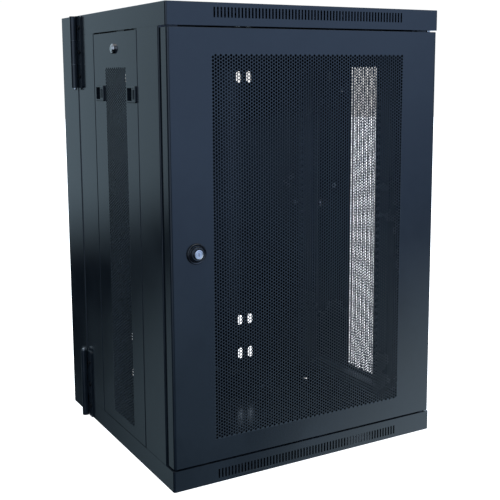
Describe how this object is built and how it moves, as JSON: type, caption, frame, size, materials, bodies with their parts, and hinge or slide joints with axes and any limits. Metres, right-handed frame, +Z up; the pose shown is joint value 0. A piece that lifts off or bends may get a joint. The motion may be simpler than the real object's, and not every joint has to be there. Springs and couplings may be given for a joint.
{
  "type": "swing-out wall network cabinet",
  "caption": "Blue-black steel wall cabinet for rack equipment: perforated locking door, vented caps, lift-off side panels with slide latches, and a body that swings off its wall section.",
  "frame": {"origin": "middle of the base, on the floor plane: midway between the door's face and the wall plane, and between the side skins", "axes": "+Z up, the door faces -Y, the wall plate faces +Y, +X to the right of someone facing the door"},
  "size_m": [0.6215, 0.561, 0.88],
  "materials": {
    "black_powder_coat": "semi-gloss blue-black powder coat",
    "black_grille": "powder-coated perforated sheet",
    "black_rail": "powder coat on 2 mm rail steel",
    "black_hinge": "black painted steel",
    "black_screw": "black oxide screws",
    "zinc_plate": "bright zinc plate",
    "black_plastic": "moulded black nylon",
    "black_rosette": "black die-cast lock rosette",
    "lock_chrome": "bright nickel plate"
  },
  "bodies": {
    "wall_section": {"wall_back_plate": "black_powder_coat", "wall_left_side": "black_powder_coat", "wall_right_side": "black_powder_coat", "wall_top": "black_powder_coat", "wall_bottom": "black_powder_coat", "upper_hinge_wall_leaf": "black_hinge", "lower_hinge_wall_leaf": "black_hinge", "upper_hinge_pin": "zinc_plate", "lower_hinge_pin": "zinc_plate", "hinge_wall_screws": "black_screw", "swing_lock_stud": "zinc_plate"},
    "cabinet": {"top_cap": "black_powder_coat", "bottom_cap": "black_powder_coat", "left_front_post": "black_powder_coat", "left_rear_post": "black_powder_coat", "left_front_rail": "black_rail", "left_rear_rail": "black_rail", "left_upper_bracket": "black_rail", "left_lower_bracket": "black_rail", "right_front_post": "black_powder_coat", "right_rear_post": "black_powder_coat", "right_front_rail": "black_rail", "right_rear_rail": "black_rail", "right_upper_bracket": "black_rail", "right_lower_bracket": "black_rail", "upper_hinge_body_leaf": "black_hinge", "lower_hinge_body_leaf": "black_hinge", "hinge_body_screws": "black_screw", "rail_bolts": "zinc_plate", "bracket_screws": "zinc_plate", "left_fan_cover": "black_powder_coat", "right_fan_cover": "black_powder_coat", "top_cable_cover": "black_powder_coat", "bottom_cable_cover": "black_powder_coat", "cover_screws": "zinc_plate", "swing_lock_barrel": "lock_chrome"},
    "swing_lock": {"swing_lock_core": "lock_chrome"},
    "door": {"door_frame": "black_powder_coat", "door_grille": "black_grille", "left_door_stiffener": "black_powder_coat", "right_door_stiffener": "black_powder_coat", "lower_door_pin": "zinc_plate", "door_lock_barrel": "black_rosette"},
    "door_pin": {"upper_door_pin": "zinc_plate"},
    "door_lock": {"door_lock_plug": "lock_chrome", "door_lock_cam": "zinc_plate"},
    "left_panel": {"left_side_panel": "black_powder_coat", "left_side_grille": "black_grille", "left_latch_housings": "black_plastic", "left_panel_lock_barrel": "lock_chrome"},
    "left_panel_lock": {"left_panel_lock_core": "lock_chrome"},
    "left_rear_latch": {"left_rear_latch_slide": "black_plastic"},
    "left_front_latch": {"left_front_latch_slide": "black_plastic"},
    "right_panel": {"right_side_panel": "black_powder_coat", "right_side_grille": "black_grille", "right_latch_housings": "black_plastic", "right_panel_lock_barrel": "lock_chrome"},
    "right_panel_lock": {"right_panel_lock_core": "lock_chrome"},
    "right_rear_latch": {"right_rear_latch_slide": "black_plastic"},
    "right_front_latch": {"right_front_latch_slide": "black_plastic"}
  },
  "joints": [
    {"name": "swing_hinge", "type": "hinge", "parent": "wall_section", "child": "cabinet", "pos_m": [-0.308, 0.175, 0.44], "axis": [0, 0, -1], "range_deg": [0, 95]},
    {"name": "door_hinge", "type": "hinge", "parent": "cabinet", "child": "door", "pos_m": [0.286, -0.262, 0.44], "axis": [0, 0, 1], "range_deg": [0, 180]},
    {"name": "door_pin_pull", "type": "slide", "parent": "door", "child": "door_pin", "axis": [0, 0, -1], "range_m": [0, 0.008], "stiffness_N_per_m": 800, "springref_m": -0.005},
    {"name": "door_lock_turn", "type": "hinge", "parent": "door", "child": "door_lock", "pos_m": [-0.248, -0.26, 0.44], "axis": [0, 1, 0], "range_deg": [0, 90]},
    {"name": "swing_lock_turn", "type": "hinge", "parent": "cabinet", "child": "swing_lock", "pos_m": [0.28, 0.14, 0.44], "axis": [1, 0, 0], "range_deg": [0, 90]},
    {"name": "left_panel_pull", "type": "slide", "parent": "cabinet", "child": "left_panel", "axis": [-1, 0, 0], "range_m": [0, 0.15]},
    {"name": "left_panel_lock_turn", "type": "hinge", "parent": "left_panel", "child": "left_panel_lock", "pos_m": [-0.29, -0.035, 0.806], "axis": [-1, 0, 0], "range_deg": [0, 90]},
    {"name": "left_rear_latch_slide", "type": "slide", "parent": "left_panel", "child": "left_rear_latch", "axis": [0, 1, 0], "range_m": [0, 0.008]},
    {"name": "left_front_latch_slide", "type": "slide", "parent": "left_panel", "child": "left_front_latch", "axis": [0, 1, 0], "range_m": [0, 0.008]},
    {"name": "right_panel_pull", "type": "slide", "parent": "cabinet", "child": "right_panel", "axis": [1, 0, 0], "range_m": [0, 0.15]},
    {"name": "right_panel_lock_turn", "type": "hinge", "parent": "right_panel", "child": "right_panel_lock", "pos_m": [0.29, -0.035, 0.806], "axis": [-1, 0, 0], "range_deg": [0, 90]},
    {"name": "right_rear_latch_slide", "type": "slide", "parent": "right_panel", "child": "right_rear_latch", "axis": [0, 1, 0], "range_m": [0, 0.008]},
    {"name": "right_front_latch_slide", "type": "slide", "parent": "right_panel", "child": "right_front_latch", "axis": [0, 1, 0], "range_m": [0, 0.008]}
  ]
}
